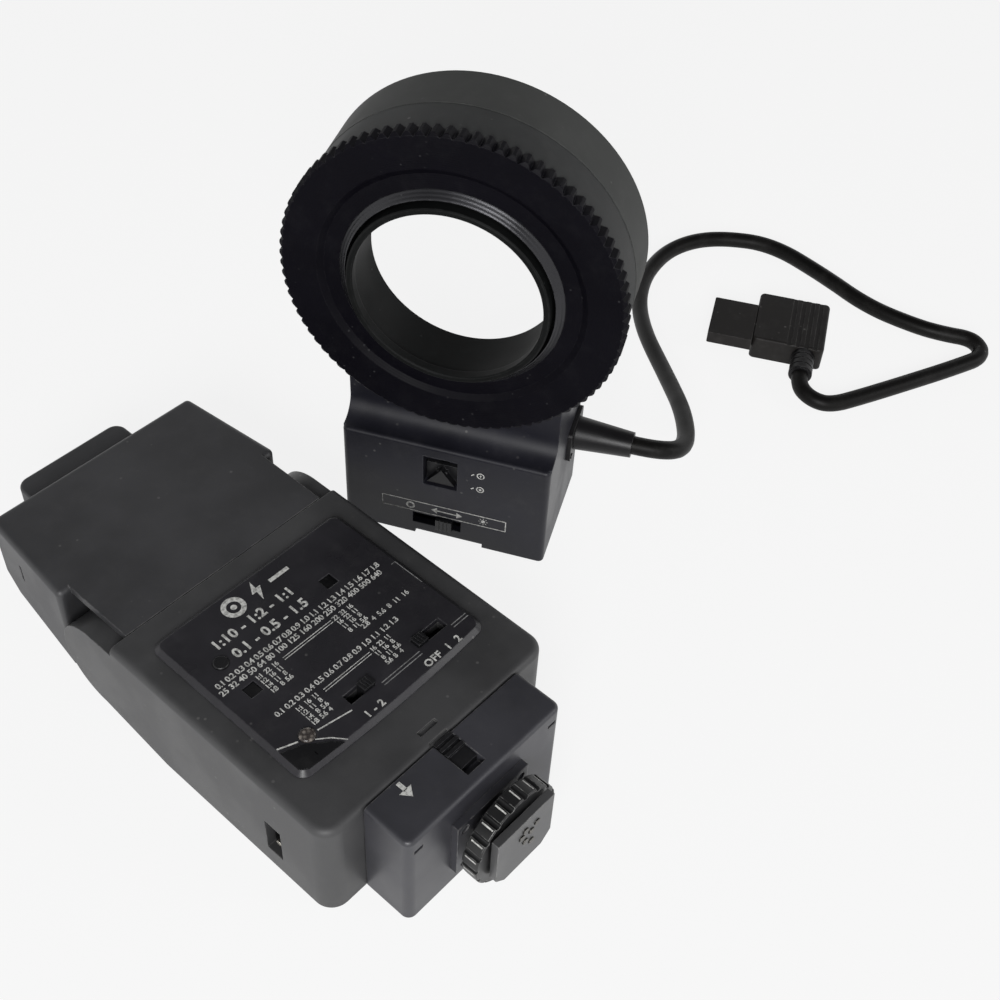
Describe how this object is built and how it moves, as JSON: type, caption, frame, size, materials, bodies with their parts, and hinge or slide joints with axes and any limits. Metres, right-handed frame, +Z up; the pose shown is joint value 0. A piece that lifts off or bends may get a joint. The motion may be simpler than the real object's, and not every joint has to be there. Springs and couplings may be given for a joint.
{
  "type": "macro ring flash",
  "caption": "Macro ring flash: flat power pack with tilting head and shoe module, ring head on its own box, cord and angled plug.",
  "frame": {"origin": "underside of the power pack, on the table, under the middle of its width", "axes": "+Z up from the table, +Y along the pack towards its tilting head, +X towards the ring head"},
  "size_m": [0.2849, 0.1653, 0.13],
  "materials": {
    "pack_shell": "moulded dark grey plastic, fine grain",
    "panel": "smooth black panel plate",
    "window": "glossy black window",
    "lamp": "clear jewel",
    "bulb": "neon lamp",
    "board": "printed circuit board",
    "winding": "taped transformer",
    "black_plastic": "black moulded plastic",
    "nickel": "nickel plated spring metal",
    "steel": "steel",
    "cell": "plain sleeved cell",
    "capacitor": "sleeved capacitor",
    "module": "moulded dark grey plastic",
    "foot": "hard black plastic",
    "ring_black": "black moulded plastic with a blue cast",
    "drum": "dark grey moulded plastic",
    "thread": "black anodised aluminium",
    "bore": "black anodised aluminium",
    "xenon": "xenon flash tube",
    "reflector": "bright reflector",
    "diffuser": "frosted diffuser",
    "box": "dark moulded plastic",
    "cord": "black flexible jacket",
    "plug": "black moulded plug",
    "gold": "gold plated contacts"
  },
  "bodies": {
    "pack": {"body_shell": "pack_shell", "base_cover": "pack_shell", "cover_screws": "steel", "control_panel": "panel", "panel_windows": "window", "ready_lamp": "lamp", "lamp_bulb": "bulb", "mode_switch": "black_plastic", "power_switch": "black_plastic", "main_board": "board", "transformer": "winding", "battery_cells": "cell", "battery_contacts": "nickel", "pivot_pins": "steel", "socket_housing": "black_plastic", "head_socket": "black_plastic", "socket_pins": "nickel", "pack_connector": "black_plastic"},
    "battery_door": {"battery_door": "pack_shell"},
    "test_button": {"test_button": "black_plastic"},
    "mode_knob": {"mode_knob": "black_plastic"},
    "power_knob": {"power_knob": "black_plastic"},
    "tilt_head": {"head_shell": "pack_shell", "head_cover": "pack_shell", "hinge_arms": "steel", "capacitor": "capacitor", "end_cap": "pack_shell"},
    "module": {"module_case": "module", "module_connector": "gold", "foot_bracket": "module", "shoe_foot": "foot", "foot_contacts": "gold"},
    "release_slider": {"release_slider": "black_plastic"},
    "lock_wheel": {"lock_wheel": "foot"},
    "ring_head": {"ring_housing": "drum", "drum_cover": "drum", "bore_tube": "bore", "ring_diffuser": "diffuser", "ring_tube": "xenon", "ring_reflector": "reflector", "box_shell": "box", "box_cover": "box", "point_window": "diffuser", "point_reflector": "reflector", "point_tube": "xenon", "trigger_board": "board", "cord_gland": "ring_black", "strain_relief": "cord", "cord": "cord", "plug_body": "plug", "plug_nose": "plug", "plug_pins": "gold", "plug_boot": "cord"},
    "knurled_ring": {"knurled_ring": "ring_black", "thread_ring": "thread"},
    "selector_knob": {"selector_knob": "black_plastic"},
    "well_slider": {"well_slider": "black_plastic"}
  },
  "joints": [
    {"name": "head_tilt", "type": "hinge", "parent": "pack", "child": "tilt_head", "pos_m": [0, 0.0345, 0.0175], "axis": [-1, 0, 0], "range_deg": [0, 75]},
    {"name": "door_swing", "type": "hinge", "parent": "pack", "child": "battery_door", "pos_m": [0.0291, 0, 0.0011], "axis": [0, -1, 0], "range_deg": [0, 90]},
    {"name": "button_press", "type": "slide", "parent": "pack", "child": "test_button", "axis": [0, 0, -1], "range_m": [0, 0.0008], "stiffness_N_per_m": 400, "springref_m": -0.0008},
    {"name": "mode_slide", "type": "slide", "parent": "pack", "child": "mode_knob", "axis": [-1, 0, 0], "range_m": [0, 0.0042]},
    {"name": "power_slide", "type": "slide", "parent": "pack", "child": "power_knob", "axis": [1, 0, 0], "range_m": [0, 0.0061]},
    {"name": "module_off", "type": "slide", "parent": "pack", "child": "module", "axis": [0, -1, 0], "range_m": [0, 0.03]},
    {"name": "release_pull", "type": "slide", "parent": "module", "child": "release_slider", "axis": [0, -1, 0], "range_m": [0, 0.0022], "stiffness_N_per_m": 300, "springref_m": -0.001},
    {"name": "wheel_turn", "type": "hinge", "parent": "module", "child": "lock_wheel", "pos_m": [0, -0.0665, 0.0177], "axis": [0, 1, 0], "continuous": true},
    {"name": "ring_lift", "type": "slide", "parent": "pack", "child": "ring_head", "axis": [0, 0, 1], "range_m": [0, 0.05]},
    {"name": "ring_turn", "type": "hinge", "parent": "ring_head", "child": "knurled_ring", "pos_m": [0.0642, 0.0144, 0.0867], "axis": [0.898, 0.4399, 0], "continuous": true},
    {"name": "selector_slide", "type": "slide", "parent": "ring_head", "child": "selector_knob", "axis": [-0.4399, 0.898, 0], "range_m": [0, 0.0046]},
    {"name": "well_slide", "type": "slide", "parent": "ring_head", "child": "well_slider", "axis": [0, 0, 1], "range_m": [0, 0.004]}
  ]
}
